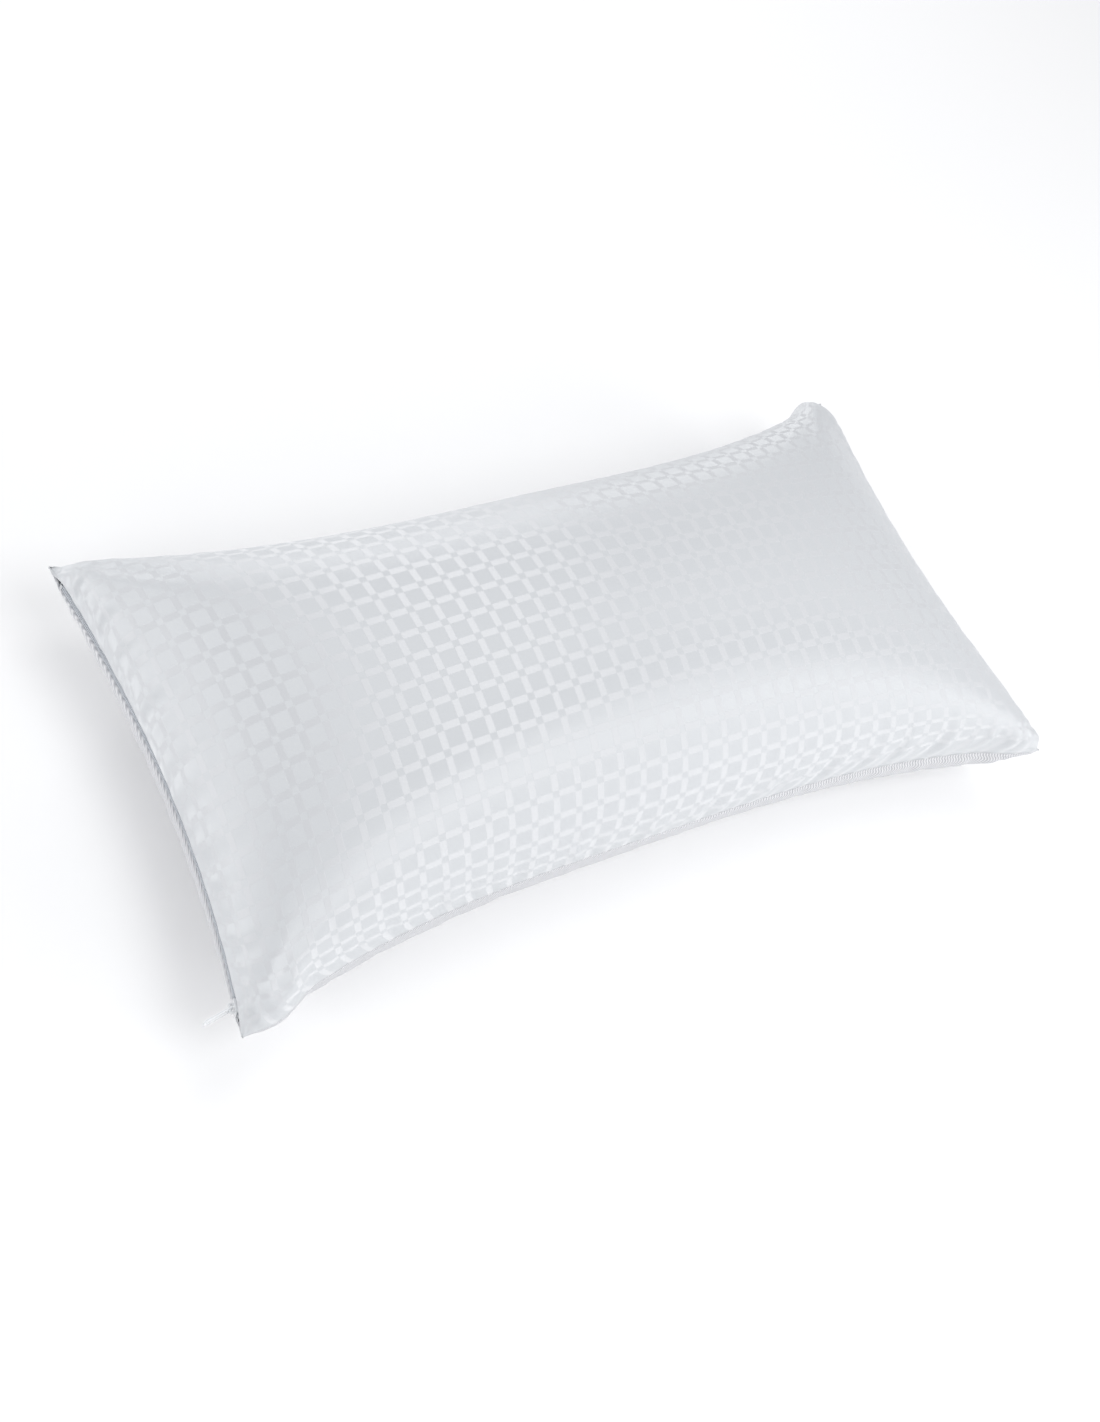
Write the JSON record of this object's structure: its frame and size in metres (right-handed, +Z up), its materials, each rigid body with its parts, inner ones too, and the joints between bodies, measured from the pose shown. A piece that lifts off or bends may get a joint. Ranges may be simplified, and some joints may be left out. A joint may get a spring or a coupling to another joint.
{
  "type": "bed pillow",
  "caption": "Rectangular bed pillow, fully stuffed, in a zipped check-damask cover with a filled inner case; the zip runs along one short end.",
  "frame": {"origin": "on the surface the pillow lies on, under the middle of the cover", "axes": "+X along the pillow from the zipped end to the sewn end, +Y across it away from the end where the closed slider stops, +Z up"},
  "size_m": [0.7166, 0.372, 0.176],
  "materials": {
    "jacquard_ticking": "satin",
    "twill_ticking": "matte",
    "inner_case_cloth": "matte",
    "fibre_fill": "matte",
    "sewing_thread": "satin",
    "zip_tape": "matte",
    "nylon_coil": "satin",
    "zip_stop": "satin",
    "lacquered_zinc": "gloss"
  },
  "bodies": {
    "pillow": {"top_panel": "jacquard_ticking", "bottom_panel": "twill_ticking", "seam_thread_front": "sewing_thread", "seam_thread_back": "sewing_thread", "seam_thread_end": "sewing_thread", "inner_case_top": "inner_case_cloth", "inner_case_bottom": "inner_case_cloth", "fibre_core": "fibre_fill", "zip_tape_upper": "zip_tape", "zip_tape_lower": "zip_tape", "zip_coil_upper": "nylon_coil", "zip_coil_lower": "nylon_coil", "coil_cord_upper": "sewing_thread", "coil_cord_lower": "sewing_thread", "coil_stitching_upper": "sewing_thread", "coil_stitching_lower": "sewing_thread", "tape_stitching_upper": "sewing_thread", "tape_stitching_lower": "sewing_thread", "top_stops": "zip_stop", "bottom_stop": "zip_stop"},
    "slider": {"slider_body": "lacquered_zinc"},
    "pull": {"pull_tab": "lacquered_zinc"}
  },
  "joints": [
    {"name": "zip_slide", "type": "hinge", "parent": "pillow", "child": "slider", "pos_m": [-0.89864, 0, 0.42513], "axis": [0.5369, 0, 0.8437], "range_deg": [0, 27.54]},
    {"name": "pull_swing", "type": "hinge", "parent": "slider", "child": "pull", "pos_m": [-0.34591, -0.16225, 0.07262], "axis": [0.0133, 0.129, 0.9916], "range_deg": [-100, 55]}
  ]
}
